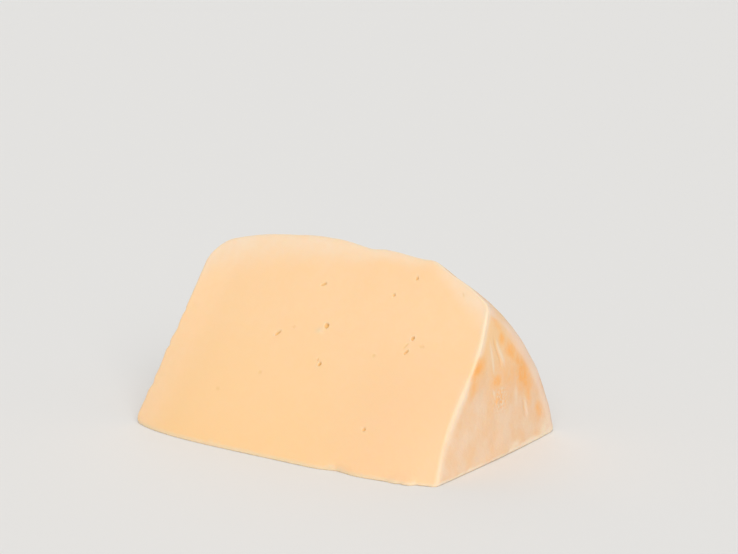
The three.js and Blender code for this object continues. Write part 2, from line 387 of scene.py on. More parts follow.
def reach(s, radius, tilt):
    """How far a line at a tilt from the front edge runs before it meets a circle about the wheel's
    axis: the positive root of the quadratic for that distance."""
    along = s.axis_y * np.cos(tilt) + s.axis_z * np.sin(tilt)
    return along + np.sqrt(along**2 - s.axis_y**2 - s.axis_z**2 + radius**2)


def front_edge(s, x):
    """How far back the front edge lies: a bow that falls off with a power of the place on the axis, and
    a quarter round at each end."""
    bow = s.front_bow * (1 - np.abs(x / s.half) ** BOW_POWER)
    return quarter_round(s.half - np.abs(x), s.front_corner) - bow


def pair(y, z):
    """Points from two arrays of coordinates, stretched to one shape."""
    return np.stack(np.broadcast_arrays(y, z), -1)


def section_corners(s, x):
    """Front, back and top corner of the sections at x, and turns about the wheel's axis: the upper edge's
    on the plain wheel, and the two between which the rind runs."""
    ray = np.array([math.cos(s.cut_angle), math.sin(s.cut_angle)])

    def turn_of(p):
        """Turn about the wheel's axis, by the arc tangent."""
        return np.arctan2(p[..., 1] - s.axis_z, p[..., 0] - s.axis_y)

    plain = wheel_radius(s, x)
    upper = turn_of(reach(s, plain, s.cut_angle)[..., None] * ray)
    lower = turn_of(pair(reach(s, plain, 0.0), 0 * x))
    front = pair(front_edge(s, x), 0 * x)
    top = reach(s, rind_radius(s, x, upper, upper), s.cut_angle)[..., None] * ray
    back = pair(reach(s, rind_radius(s, x, lower, upper), 0.0), 0 * x)
    return SimpleNamespace(front=front, top=top, back=back, upper=upper, low=turn_of(back), high=turn_of(top))


def towards(start, end, distance):
    """The point at a distance from start on the straight way to end."""
    way = end - start
    return start + way * (distance / np.linalg.norm(way, axis=-1, keepdims=True))


def bent(start, corner, end, t):
    """Quadratic curve from start to end that is pulled to the corner."""
    return (1 - t) ** 2 * start + 2 * t * (1 - t) * corner + t**2 * end


def section_rings(s, x, lines):
    """Rings of section points, one ring for each x: straight along the bottom, an arc of rind, and
    straight down the leaning cut, with a quadratic curve round each of the three corners."""
    c = section_corners(s, x[:, None])
    slip = s.edge_round / wheel_radius(s, x[:, None])
    t = {name: shares[None, :, None] for name, shares in lines.items()}

    def rind(turn):
        """Rind at a turn about the wheel's axis: radius times cosine and sine."""
        radius = rind_radius(s, x[:, None], turn, c.upper)
        return pair(s.axis_y + radius * np.cos(turn), s.axis_z + radius * np.sin(turn))

    def off(start, end):
        """Where the rounding of a corner ends on the way to another."""
        return towards(start, end, s.edge_round)

    rings = (
        blended(off(c.front, c.back), off(c.back, c.front), t["bottom"]),
        bent(off(c.back, c.front), c.back, rind(c.low + slip), t["back_corner"]),
        rind(c.low + slip + (c.high - c.low - 2 * slip) * lines["side"]),
        bent(rind(c.high - slip), c.top, off(c.top, c.front), t["top_corner"]),
        blended(off(c.top, c.front), off(c.front, c.top), t["front"]),
        bent(off(c.front, c.top), c.front, off(c.front, c.back), t["front_corner"]),
    )
    return np.concatenate(rings, axis=1), c


def crowded(count, centres, half_width, gain):
    """Shares from 0 to 1 that crowd together about the centres: the lines stand at equal steps of the
    running sum of a density, which is one plus a gain on a flat-topped bell about each centre."""
    fine = np.linspace(0, 1, FINE_POINTS)
    bells = sum(np.exp(-(((fine - centre) / half_width) ** 4)) for centre in centres)
    density = 1 + gain * np.minimum(1, bells)
    total = np.concatenate([[0], np.cumsum((density[1:] + density[:-1]) / 2)])
    return np.interp(np.linspace(0, total[-1], count + 1), total, fine)


def section_lines(s):
    """Shares along each stretch of the section, crowded at the eyes of the two cuts."""
    lines = {name: np.linspace(0, 1, count + 1) for name, count in AROUND.items()}
    along, up = np.array(FRONT_EYES).T[:2]
    c = section_corners(s, along)
    slope = np.linalg.norm(c.top - c.front, axis=-1)
    lines["front"] = crowded(AROUND["front"], 1 - up / slope, EYE_BAND / slope.mean(), CROWDING.front)
    along, back = np.array(BASE_EYES).T[:2]
    c = section_corners(s, along)
    depth = (c.back - c.front)[:, 0]
    centres = (back - c.front[:, 0]) / depth
    lines["bottom"] = crowded(AROUND["bottom"], centres, EYE_BAND / depth.mean(), CROWDING.bottom)
    return {name: shares[:-1] for name, shares in lines.items()}


def axis_stations(s):
    """Stations along the axis as places, insets, sizes and shares of flat face: each flat face grows
    from its middle, turns over a small edge and the quarter round of its rim, and the body runs
    between the rims with its lines crowded at the eyes."""
    limit = s.half - s.edge_round
    quarter = np.linspace(0, math.pi / 2, ALONG["edge"] + 1)
    grow = 1 - np.arange(1, ALONG["cap"] + 1) / ALONG["cap"]

    def end(radius):
        """Stations of the right end: sines and cosines of a quarter turn make both its roundings."""
        rim = s.half - radius * (1 - np.sin(np.linspace(0, math.pi / 2, ALONG["rim"] + 1)))
        rim = rim[rim < limit]
        x = np.concatenate([rim, limit + s.edge_round * np.sin(quarter), np.full(len(grow), s.half)])
        inset = np.concatenate([0 * rim, s.edge_round * (1 - np.cos(quarter)), 0 * grow + s.edge_round])
        size = np.concatenate([0 * rim + 1, 0 * quarter + 1, grow])
        over = np.concatenate([0 * rim, np.sin(quarter) ** 2, 0 * grow + 1])
        return np.stack([x, inset, size, over])

    left = end(s.left_round)[:, ::-1] * np.array([[-1], [1], [1], [1]])
    start, stop = s.left_round - s.half, s.half - s.right_round
    centres = [(eye[0] - start) / (stop - start) for eye in FRONT_EYES]
    shares = crowded(ALONG["body"], centres, EYE_BAND / (stop - start), CROWDING.body)[1:-1]
    body = np.stack([blended(start, stop, shares), 0 * shares, 0 * shares + 1, 0 * shares])
    return np.concatenate([left, body, end(s.right_round)], axis=1)


def wedge_grid(s):
    """The grid before its faces are bent: section rings carried along the axis and shrunk to a point
    in the middle of both flat faces. With each point go its shares of flat face, rind, leaning cut and
    base, its distances from the front edge, the leaning cut, the bulging side and the nearer end, and
    its places up the slope and along the arc of the side."""
    lines = section_lines(s)
    x, inset, size, over = axis_stations(s)
    ring, c = section_rings(s, x, lines)
    middle = (c.front + c.top + c.back) / 3
    out = ring - middle
    radius = np.linalg.norm(out, axis=-1, keepdims=True)
    ring = middle + out * ((radius - inset[:, None, None]) * size[:, None, None] / radius)

    names = np.repeat(list(AROUND), list(AROUND.values()))
    shares = np.concatenate([lines[name] for name in AROUND])
    corners = [names == "side", names == "back_corner", names == "top_corner"]
    g = SimpleNamespace(y=ring[..., 0], z=ring[..., 1])
    g.x = np.broadcast_to(x[:, None], g.y.shape)
    g.flat = np.broadcast_to(over[:, None], g.y.shape)
    g.rind = np.maximum(np.select(corners, [1.0, shares, 1 - shares], 0.0), g.flat)
    g.front = (1 - g.flat) * np.isin(names, ["front", "front_corner"])
    g.base = (1 - g.flat) * (names == "bottom")
    g.on_flat, g.on_rind, g.on_front, g.on_base = (share > 0.5 for share in (g.flat, g.rind, g.front, g.base))

    way = (c.top - c.front) / np.linalg.norm(c.top - c.front, axis=-1, keepdims=True)
    offset = ring - c.front
    g.from_edge = np.linalg.norm(offset, axis=-1)
    g.up = (offset * way).sum(-1)
    g.from_front = np.abs(offset[..., 0] * way[..., 1] - offset[..., 1] * way[..., 0])
    turn = np.arctan2(g.z - s.axis_z, g.y - s.axis_y)
    g.arc = s.wheel_radius * turn
    g.from_side = rind_radius(s, g.x, turn, c.upper) - np.hypot(g.y - s.axis_y, g.z - s.axis_z)
    g.from_end = s.half - np.abs(g.x)
    return g


def bent_points(s, g):
    """The grid with its faces bent: the foot of the leaning cut swells out and in, the back corners are
    worn, the flat faces lean, the left one flares, is nibbled and worn at its cut edge, and the right
    one is dished beside the leaning cut and bulges beside the base. The bends of the flat faces vanish
    at mid length."""
    share, out, tilt = np.abs(g.x / s.half), np.hypot(g.y, g.z), np.arctan2(g.z, g.y)
    foot = sum(swells(g.x, [part]) * bell(g.from_edge, up) for *part, up in FOOT)
    worn = share**FADE_POWER.back * quarter_round(g.z, s.worn_back) * bell(g.from_side, WORN_REACH)

    near = bell(out * np.sin(s.cut_angle - tilt), NIBBLE_REACH)
    edge = near * (swells(out, NIBBLES) - s.flare) + quarter_round(g.from_edge, s.worn_corner)
    left = share * LEAN.left * out + share**FADE_POWER.left * edge

    risen = np.clip(tilt / s.cut_angle, 0, 1)
    t = np.clip(out / reach(s, wheel_radius(s, np.array(s.half)), risen * s.cut_angle), 0, 1)
    dish = DISH.wave * np.sin(2 * np.pi * t) + DISH.hollow * np.sin(np.pi * t)
    bulge = DISH.bulge * np.sin(np.pi * t)
    right = share * LEAN.right * out + share**FADE_POWER.right * blended(bulge, -dish, risen)
    return np.stack([g.x + np.where(g.x < 0, left, right), g.y + foot - worn, g.z], -1)


def lattice_noise(points, pitch, seed):
    """Smooth noise from -1 to 1: seeded numbers on a cubic lattice that stands askew, blended between
    the eight corners about each point with an S-curve."""
    table = np.random.default_rng(seed).uniform(-1, 1, (LATTICE, LATTICE, LATTICE))
    cell = points @ ASKEW / pitch
    low = np.floor(cell).astype(int)
    part = smooth_step(cell - low, 0, 1)
    total = 0
    for corner in np.ndindex(2, 2, 2):
        weight = np.prod(np.where(corner, part, 1 - part), axis=-1)
        i, j, k = np.moveaxis((low + corner) % LATTICE, -1, 0)
        total = total + weight * table[i, j, k]
    return total


def grid_normals(points):
    """Outward normals of a grid that wraps round its second direction: the cross product of the
    differences along both."""
    around = np.roll(points, -1, axis=1) - np.roll(points, 1, axis=1)
    normal = np.cross(around, np.gradient(points, axis=0))
    return normal / (np.linalg.norm(normal, axis=-1, keepdims=True) + TINY)


def eye_pits(u, v, eyes, ragged):
    """Depth of the eyes at places of a cut, the painted shade of each place, and how near the lip whose pale
    colour is a painted highlight: each eye is half an ellipsoid with a ragged outline and a slightly raised
    lip, and the deeper ones get more painted shade."""
    depth, painted_eye_shade, lip_highlights = np.zeros((3, *u.shape))
    for middle_u, middle_v, long, wide, deep, turn in eyes:
        along, across = turned(u - middle_u, v - middle_v, turn)
        ring = np.hypot(along / (long / 2), across / (wide / 2)) * (1 + EYE.ragged * ragged)
        lip = bell(ring - EYE.lip, EYE.lip_width) * min(1, deep)
        depth += deep * np.sqrt(np.maximum(0, 1 - ring**2)) - RELIEF.eye_lip * lip
        # painted shade on the eye's floor, stronger in deeper eyes
        painted_eye_shade = np.maximum(painted_eye_shade, min(1, EYE.shade + EYE.deepening * deep) * fading(ring, *EYE.floor))
        # the lip's pale colour is a painted highlight on the eye's rim
        lip_highlights = np.maximum(lip_highlights, lip)
    return np.stack([depth, painted_eye_shade, lip_highlights])


def scattered_marks(seed, low, high, count):
    """Seeded marks of a rectangle: soft ovals that lean one way, and short lines, each with a pale streak
    beside it. A quarter as many lines as blotches, and a tenth as many crumbly patches."""
    rng = np.random.default_rng(seed)

    def drawn_ovals(number, halves):
        """Ovals with even draws of size, shape, angle, place and strength."""
        half = rng.uniform(*halves, number)
        shape = [half, half * rng.uniform(*DRAWN.slimness, number), rng.uniform(*DRAWN.angle, number)]
        middle = rng.uniform(low, high, (number, 2))
        return np.column_stack([middle, *shape, rng.uniform(*DRAWN.strength, number)])

    lines = max(2, count // 4)
    turn, half = rng.uniform(*DRAWN.line_angle, lines), rng.uniform(*DRAWN.line_half, lines)
    way = np.column_stack([half * np.cos(turn), half * np.sin(turn)])
    middle = rng.uniform(low, high, (lines, 2))
    crease = np.column_stack([middle - way, middle + way])
    return {
        "blotch": drawn_ovals(count, DRAWN.blotch),
        "patch": drawn_ovals(lines, DRAWN.patch),
        "crumbly": drawn_ovals(max(1, count // 10), DRAWN.crumbly),
        "crease": crease,
        "streak": crease + 2 * DRAWN.streak_beside,
    }


def rind_marks(g, noise):
    """Masks of blotches, pale and crumbly patches and the distances to creases and streaks: placed ones
    on the right-hand face, seeded ones on the left-hand face and on the bulging side, unrolled. Noise
    shifts each place a little, so that outlines and lines wander, and it breaks up the seeded lines by
    adding to the distance from them."""
    inside = smooth_step(np.where(g.on_flat, g.from_side, g.from_end), *DRAWN_INSIDE)
    broken = BROKEN * (1 + noise["broken"])

    def found(u, v, marks, wander):
        """Masks and distances at places that noise has shifted."""
        u, v = u + wander * noise["shift_u"], v + wander * noise["shift_v"]
        masks = [ovals(u, v, marks[name]) for name in ("blotch", "patch", "crumbly")]
        return np.stack(masks + [line_distance(u, v, marks[name]) for name in ("crease", "streak")])

    def drawn(u, v, draw):
        """Seeded marks that fade at the rind's edges, with broken lines."""
        marks = found(u, v, scattered_marks(*draw), WANDER.drawn)
        return np.concatenate([marks[:3] * inside, marks[3:] + broken])

    right = found(g.y, g.z, RIGHT_MARKS, WANDER.placed)
    left, side = drawn(g.y, g.z, LEFT_FACE), drawn(g.x, g.arc, BULGING_SIDE)
    faces = [g.on_flat & (g.x > 0), g.on_flat]
    blotch, patch, crumbly, crease, streak = np.select(faces, [right, left], side)
    return SimpleNamespace(blotch=blotch, patch=patch, crumbly=crumbly, crease=crease, streak=streak)


def surface_relief(g, noise, marks, crumb):
    """Height of the relief: on the rind two sizes of lumps, creases between raised shoulders and crumbly
    patches, and on the leaning cut low waves, a ragged foot and crumbs. The base is flat."""
    lumps = RELIEF.rind_coarse * noise["rind_coarse"] + RELIEF.rind_fine * noise["rind_fine"]
    shoulder = RELIEF.shoulder * bell(marks.crease - CREASE.shoulder, CREASE.shoulder_width)
    groove = shoulder - RELIEF.groove * bell(marks.crease, CREASE.groove)
    rind = g.rind * (lumps + groove + RELIEF.crumbly * marks.crumbly * noise["crumbly"])
    foot_height = RELIEF.foot + RELIEF.right_foot * smooth_step(g.x, *RAGGED_STRETCH)
    foot = bell(g.from_edge, RAGGED_FOOT) * foot_height
    front = g.front * (RELIEF.paste * noise["paste"] + foot * noise["foot"])
    return np.where(g.on_base, 0, rind + front + RELIEF.crumb * crumb)


def cream_marks_and_painted_highlights(g, noise, marks, crumb, lip_highlights):
    """Strength of the cream lines, partly a real pale border and partly a painted highlight, the one along
    the
    foot a painted highlight only: each fades with the distance from its edge of rind or paste. They are
    wider high up on the right, and broken where a blotch meets them. Crumbs, pale patches and streaks take
    the same colour, and so does the painted highlight on the eyes' lips."""
    higher = smooth_step(g.up, *LINES.high_up)
    near_right = (g.x > 0) * fading(g.from_end, *LINES.right_end)
    whole = 1 - near_right * smooth_step(ovals(g.y, g.z, RIGHT_MARKS["blotch"]), *LINES.broken)

    # the lines along the cut edges are partly a real pale border and partly a painted highlight
    ends = np.minimum(g.from_side, g.from_end)
    paste_line = fading(np.where(g.on_base, np.minimum(ends, g.from_front), ends), *LINES.paste)
    right_width = blended(*LINES.right_width, higher)
    right_line = near_right * fading(g.from_end, LINES.right_start, right_width)
    right_strength = blended(1, blended(*LINES.right_strength, higher), near_right)
    end_line = np.maximum(paste_line, right_line) * whole * right_strength
    # painted highlight along the foot of the leaning cut
    painted_foot_highlight = np.where(g.on_base, 0, fading(g.up, *LINES.foot))
    # the eyes' lips take the cream as a painted highlight
    on_paste = np.maximum.reduce([end_line, painted_foot_highlight, crumb, LINES.lip * lip_highlights])

    cut_width = blended(*LINES.cut_width, higher)
    # cream along the rind's cut edge, partly real and partly painted highlight
    cut_line = blended(*LINES.cut_strength, higher) * fading(g.from_front, LINES.cut_start, cut_width)
    base_width = LINES.base_width + LINES.base_ragged * noise["base_line"]
    base_width = base_width + LINES.base_wider * smooth_step(g.y, *LINES.base_back)
    # cream along the rind's lower edge, partly real and partly painted highlight
    base_line = fading(g.z / base_width, *LINES.base)
    streak_line = LINES.streak * bell(marks.streak, CREASE.streak)
    on_rind = np.maximum.reduce([cut_line, base_line, marks.patch, streak_line]) * whole
    return np.where(g.on_rind, on_rind, on_paste)


def tint_masks(g, noise, marks):
    """Masks of the tints: S-curves of the distances from side and ends and of the places along the axis
    and up the slope, a straight rise for the warm rind and a straight fall for the low paste."""
    warmth = np.where(g.on_flat, 1, TINT.warm_on_side) * (g.z - TINT.warm_from) / TINT.warm_over
    low = TINT.low - g.up / TINT.low_up - g.x / TINT.low_along
    band = BAND_WIDTH + sum(change * smooth_step(g.x, start, end) for start, end, change in BAND_STEPS)
    rim_on_flat = g.from_side + TINT.rim_narrower * smooth_step(g.z, *TINT.rim_high)
    rim_on_side = TINT.rim_on_side * g.from_end + TINT.rim_ragged * noise["rim"]
    rim = fading(np.where(g.on_flat, rim_on_flat, rim_on_side), *TINT.rim)
    return {
        "rind": g.rind,
        "tone": np.clip(np.where(g.on_rind, warmth, low), 0, 1),
        # painted light: the left end of the leaning cut is made brighter
        "left_painted_light": (g.x < 0) * fading(g.from_end, *TINT.left_painted_light),
        "blush": smooth_step(g.x, *TINT.blush_along) * fading(g.up, *TINT.blush_up),
        "band": (1 - swells(g.x, BAND_GAP)) * fading(g.from_side, BAND_START, band),
        # painted shade along the creases, in the blotches' orange
        "blotch": np.maximum(marks.blotch, TINT.crease_shade * bell(marks.crease, CREASE.crease_shade)),
        "rim": np.where(g.x > 0, 1, TINT.rim_left) * rim,
        "crumbly": marks.crumbly,
    }


def wedge_surface(s):
    """The wedge's grid of points and its colour masks: the bent grid is pushed in and out along its
    normals by the relief less the eyes, and nothing goes below the table."""
    g = wedge_grid(s)
    points = bent_points(s, g)
    noise = {name: lattice_noise(points, pitch, seed) for name, (pitch, seed) in NOISE.items()}
    marks = rind_marks(g, noise)
    front_eyes = eye_pits(g.x, g.up, FRONT_EYES + FAINT_PITS, noise["ragged"]) * g.on_front
    base_eyes = eye_pits(g.x, g.y, BASE_EYES, noise["ragged"])
    pits, painted_eye_shade, lip_highlights = np.where(g.on_base, base_eyes, front_eyes)
    crumb = ovals(g.x, g.up, CRUMBS) * g.on_front

    height = surface_relief(g, noise, marks, crumb) - pits
    raised = points + height[..., None] * grid_normals(points)
    raised[..., 2] = np.maximum(raised[..., 2], 0)
    masks = tint_masks(g, noise, marks)
    # painted shade on the eyes' floors
    masks["painted_eye_shade"] = painted_eye_shade
    # cream lines and pale marks, the lines partly painted highlight
    masks["edge"] = cream_marks_and_painted_highlights(g, noise, marks, crumb, lip_highlights)
    return raised, {name: np.broadcast_to(mask, g.y.shape) for name, mask in masks.items()}


def closed_mesh(name, points, masks):
    """A mesh from a grid that wraps round its second direction and shrinks to a point at both ends:
    quads between the rings, a fan of triangles at each end, and one attribute for each mask."""
    rings, around = points.shape[:2]
    inner = points[1:-1].reshape(-1, 3)
    poles = points[[0, -1]].mean(axis=1)
    co = np.concatenate([inner, poles]) / MM
    index = np.arange((rings - 2) * around).reshape(rings - 2, around)
    following = np.roll(index, -1, axis=1)
    quads = np.stack([index[:-1], following[:-1], following[1:], index[1:]], -1).reshape(-1, 4)
    first, last = np.full(around, len(inner)), np.full(around, len(inner) + 1)
    fans = np.concatenate(
        [np.stack([first, following[0], index[0]], -1), np.stack([index[-1], following[-1], last], -1)]
    )
    mesh = bpy.data.meshes.new(name)
    mesh.vertices.add(len(co))
    mesh.vertices.foreach_set("co", co.ravel())
    loops = np.concatenate([quads.ravel(), fans.ravel()]).astype(np.int32)
    starts = np.concatenate([np.arange(len(quads)) * 4, quads.size + np.arange(len(fans)) * 3])
    mesh.loops.add(len(loops))
    mesh.loops.foreach_set("vertex_index", loops)
    mesh.polygons.add(len(starts))
    mesh.polygons.foreach_set("loop_start", starts.astype(np.int32))
    mesh.polygons.foreach_set("use_smooth", np.ones(len(starts), bool))
    mesh.update(calc_edges=True)
    for label, mask in masks.items():
        values = np.concatenate([mask[1:-1].ravel(), mask[[0, -1]].mean(axis=1)])
        mesh.attributes.new(label, "FLOAT", "POINT").data.foreach_set("value", values.astype(np.float32))
    return mesh


class Nodes:
    """Short calls that add nodes to a material's tree and link them."""

    def __init__(self, material):
        material.use_nodes = True
        self.tree = material.node_tree
        self.tree.nodes.clear()

    def add(self, kind, **settings):
        """A new node with its settings."""
        node = self.tree.nodes.new(kind)
        for name, value in settings.items():
            setattr(node, name, value)
        return node

    def link(self, output, socket):
        self.tree.links.new(output, socket)

    def finish(self, shader):
        """The shader as the material's surface."""
        self.link(shader.outputs["BSDF"], self.add("ShaderNodeOutputMaterial").inputs["Surface"])

    def attribute(self, name):
        """One of the mesh's masks."""
        return self.add("ShaderNodeAttribute", attribute_name=name).outputs["Fac"]

    def noise(self, coordinates, pitch, detail=2.0, roughness=0.5):
        """Noise whose lumps are about one pitch apart, in millimetres."""
        node = self.add("ShaderNodeTexNoise")
        node.inputs["Scale"].default_value = MM / pitch
        node.inputs["Detail"].default_value = detail
        node.inputs["Roughness"].default_value = roughness
        self.link(coordinates, node.inputs["Vector"])
        return node.outputs["Fac"]

    def ranged(self, value, start, end, at_start=0.0, at_end=1.0):
        """S-curve that is at_start where the value is start, and at_end where it is end."""
        node = self.add("ShaderNodeMapRange", interpolation_type="SMOOTHSTEP")
        for socket, number in zip(node.inputs[1:5], (start, end, at_start, at_end)):
            socket.default_value = number
        self.link(value, node.inputs["Value"])
        return node.outputs["Result"]

    def times(self, first, second):
        """Product of a socket and a socket or number."""
        node = self.add("ShaderNodeMath", operation="MULTIPLY")
        for socket, value in zip(node.inputs, (first, second)):
            if isinstance(value, (int, float)):
                socket.default_value = value
            else:
                self.link(value, socket)
        return node.outputs["Value"]

    def mixed(self, factor, first, second):
        """Mix of two colours, each a socket or a plain colour, by a socket or a number."""
        node = self.add("ShaderNodeMix", data_type="RGBA")
        for socket, value in ((node.inputs[0], factor), (node.inputs[6], first), (node.inputs[7], second)):
            if isinstance(value, bpy.types.NodeSocket):
                self.link(value, socket)
            elif isinstance(value, (int, float)):
                socket.default_value = value
            else:
                socket.default_value = (*value, 1.0)
        return node.outputs[2]


def paste_colour(n, place, cloud, colours):
    """Paste: its tints are laid over each other by their masks, and two sizes of noise mottle it."""
    paste = n.mixed(n.attribute("tone"), colours.paste_upper_half, colours.paste_low)
    # painted light that brightens the paste at the left end
    paste = n.mixed(n.attribute("left_painted_light"), paste, colours.paste_left_painted_light)
    paste = n.mixed(n.attribute("blush"), paste, colours.paste_right)
    paste = n.mixed(n.attribute("band"), paste, colours.paste_under_rind)
    # cream of the edges, partly a real pale border and partly painted highlight
    paste = n.mixed(n.times(n.attribute("edge"), LAYER.edge_on_paste), paste, colours.cut_edge_cream_and_highlight)
    paste = n.mixed(n.ranged(cloud, start=0.35, end=0.65, at_end=LAYER.cloud), paste, colours.paste_low)
    mottling = n.ranged(n.noise(place, pitch=3, detail=3.0), start=0.35, end=0.65, at_end=LAYER.mottling)
    return n.mixed(mottling, paste, colours.paste_low)


def rind_colour(n, place, colours):
    """Rind: noise flecks it, and its blotches with the painted shade of its creases, rim, crumbly patches and
    cream lines, partly painted highlight, are laid over each other by their masks."""
    fleck = n.noise(place, pitch=7, detail=3.0, roughness=0.55)
    streak = n.noise(place, pitch=2.2, detail=3.0, roughness=0.6)
    crumb = n.noise(place, pitch=0.8, detail=1.0)
    skin = n.mixed(n.ranged(fleck, start=0.3, end=0.7), colours.rind, colours.rind_pale)
    skin = n.mixed(n.attribute("tone"), skin, colours.rind_upper)
    blotch = n.times(n.attribute("blotch"), n.ranged(streak, start=0.3, end=0.6, at_start=LAYER.blotch))
    skin = n.mixed(blotch, skin, colours.rind_orange)
    skin = n.mixed(n.times(n.attribute("rim"), LAYER.rim), skin, colours.rind_rim)
    crumbly = n.attribute("crumbly")
    dark_crumb = n.times(crumbly, n.ranged(crumb, start=0.5, end=0.38, at_end=LAYER.crumb))
    skin = n.mixed(dark_crumb, skin, colours.rind_orange)
    pale_crumb = n.times(crumbly, n.ranged(crumb, start=0.55, end=0.66, at_end=LAYER.crumb))
    skin = n.mixed(pale_crumb, skin, colours.rind_cream_and_highlight)
    # cream of the edges, partly a real pale border and partly painted highlight
    return n.mixed(n.attribute("edge"), skin, colours.rind_cream_and_highlight)


def cheese_material(colours):
    """Paste and rind in one material: the mask of rind chooses between their colours and between two
    grains of bump, and the eyes' floors, in a darker colour of painted shade, are laid over both."""
    material = bpy.data.materials.new("cheese_paste_and_rind")
    n = Nodes(material)
    place = n.add("ShaderNodeTexCoord").outputs["Object"]
    rind = n.attribute("rind")
    cloud = n.noise(place, pitch=16)
    skin = n.mixed(rind, paste_colour(n, place, cloud, colours), rind_colour(n, place, colours))
    # the eyes' floors take a darker colour as painted shade
    skin = n.mixed(n.attribute("painted_eye_shade"), skin, colours.eye)

    shader = n.add("ShaderNodeBsdfPrincipled")
    n.link(skin, shader.inputs["Base Color"])
    grain = n.noise(place, pitch=0.9, detail=3.0, roughness=0.6)
    roughness = n.ranged(grain, start=0.3, end=0.7, at_start=0.48, at_end=0.6)
    n.link(roughness, shader.inputs["Roughness"])
    shader.inputs["Specular IOR Level"].default_value = 0.35
    shader.inputs["Subsurface Weight"].default_value = 0.2
    shader.inputs["Subsurface Radius"].default_value = (1.0, 0.55, 0.25)
    shader.inputs["Subsurface Scale"].default_value = 0.002

    rind_grain = n.times(n.noise(place, pitch=1.4, detail=4.0, roughness=0.65), BUMP.rind)
    height = n.mixed(rind, n.mixed(BUMP.cloud, grain, cloud), rind_grain)
    bump = n.add("ShaderNodeBump")
    bump.inputs["Strength"].default_value = 0.35
    bump.inputs["Distance"].default_value = 0.0002
    n.link(height, bump.inputs["Height"])
    n.link(bump.outputs["Normal"], shader.inputs["Normal"])
    n.finish(shader)
    return material


def floor_material(tint):
    """Plain matt finish of one colour."""
    material = bpy.data.materials.new("pale_floor")
    n = Nodes(material)
    shader = n.add("ShaderNodeBsdfPrincipled")
    shader.inputs["Base Color"].default_value = (*tint, 1)
    shader.inputs["Roughness"].default_value = 0.7
    n.finish(shader)
    return material


def length(name, description, default):
    """A length, with its default in millimetres."""
    return bpy.props.FloatProperty(
        name=name, description=description, default=default / MM, unit="LENGTH", precision=4
    )


def angle(name, description, default):
    """An angle, with its default in degrees."""
    return bpy.props.FloatProperty(
        name=name, description=description, default=math.radians(default), subtype="ANGLE"
    )


def strength(name, description, default):
    """The strength of a light."""
    return bpy.props.FloatProperty(name=name, description=description, default=default, min=0)


def colour(name, description, default):
    """A colour of three linear values."""
    return bpy.props.FloatVectorProperty(
        name=name, description=description, default=default, size=3, min=0, max=1, subtype="COLOR"
    )


class WedgeSizes(bpy.types.PropertyGroup):
    """Sizes of the wheel, of the two cuts and of the rind's relief."""

    wheel_height: length("Wheel height", "Length of the wedge along the wheel's axis", 115)
    wheel_radius: length("Wheel radius", "Radius of the wheel's widest ring", 91.2)
    widest_x: length("Widest ring", "Place of the widest ring on the axis", -19.5)
    left_drop: length("Left drop", "Fall of the side towards the left face", 6.2)
    right_drop: length("Right drop", "Fall of the side towards the right face", 14.5)
    left_round: length("Left rim", "Rounding of the left rim", 7.5)
    right_round: length("Right rim", "Rounding of the right rim", 2.5)
    axis_y: length("Axis depth", "Wheel's axis, back from the front edge", -3.6)
    axis_z: length("Axis height", "Wheel's axis, up from the table", -22.8)
    front_bow: length("Front bow", "How far the front edge bows out", 6.2)
    front_corner: length("Front corners", "Rounding of the front edge's two ends", 0.8)
    worn_corner: length("Worn corner", "Rounding of the left face's lower front corner", 3.6)
    worn_back: length("Worn back corners", "Rounding of the lower back corners", 1.5)
    flare: length("Flare", "How far the left face flares out at the leaning cut", 0.4)
    edge_round: length("Edge rounding", "Rounding of every cut edge", 0.8)
    lump_height: length("Lumps", "Height of the rind's pressed lumps", 0.35)
    cut_angle: angle("Cut angle", "Angle between the two cuts", 57.2)


class CheeseColours(bpy.types.PropertyGroup):
    """Colours of paste and rind, as linear values."""

    paste_upper_half: colour("Paste, upper", "Paste in the upper half of the cut", (0.885, 0.592, 0.335))
    paste_low: colour("Paste, low", "Paste towards the lower left of the cut", (0.88, 0.56, 0.26))
    # a brighter paste, painted light at the left end
    paste_left_painted_light: colour("Paste, left", "Paste at the left end of the cut", (0.93, 0.625, 0.36))
    paste_right: colour("Paste, right", "Paste towards the lower right of the cut", (0.85, 0.548, 0.31))
    paste_under_rind: colour("Paste under rind", "Paler paste below the bulging rind", (0.85, 0.655, 0.465))
    # the two creams of the edges are partly a real pale border and partly a painted highlight
    cut_edge_cream_and_highlight: colour("Cut edge", "Cream line along the edges of the cuts", (0.75, 0.61, 0.43))
    rind_cream_and_highlight: colour("Rind edge", "Cream line along the edges of the rind", (0.86, 0.7, 0.52))
    # darker colour of the eyes' floors, laid on as painted shade
    eye: colour("Eye", "Floors of the eyes", (0.70, 0.42, 0.13))
    rind: colour("Rind", "Beige rind", (0.825, 0.533, 0.31))
    rind_pale: colour("Rind, pale", "Paler flecks of rind", (0.82, 0.588, 0.40))
    rind_upper: colour("Rind, upper", "Warmer rind of the upper half", (0.88, 0.575, 0.305))
    # also laid along the creases as painted shade
    rind_orange: colour("Rind, orange", "Orange blotches of rind", (0.93, 0.43, 0.11))
    rind_rim: colour("Rim", "Pinkish rim of the rind", (0.86, 0.635, 0.48))


class StageSettings(bpy.types.PropertyGroup):
    """Floor, lights and camera."""

    floor_colour: colour("Floor", "Plain pale floor", (0.80, 0.79, 0.77))
    world_strength: strength("Sky", "Strength of the plain sky", 0.5)
    key_strength: strength("Key", "Strength of the front light", 2.2)
    fill_strength: strength("Fill", "Strength of the light behind", 0.3)
    azimuth: angle("Azimuth", "Camera's turn to the right", 36.006)
    elevation: angle("Elevation", "Camera's height angle", 11.103)
    distance: length("Distance", "Camera's distance from the point that it looks at", 560)
    lens: bpy.props.FloatProperty(
        name="Lens",
        description="Focal length for a sensor 36 mm wide",
        default=89.593,
        subtype="DISTANCE_CAMERA",
    )


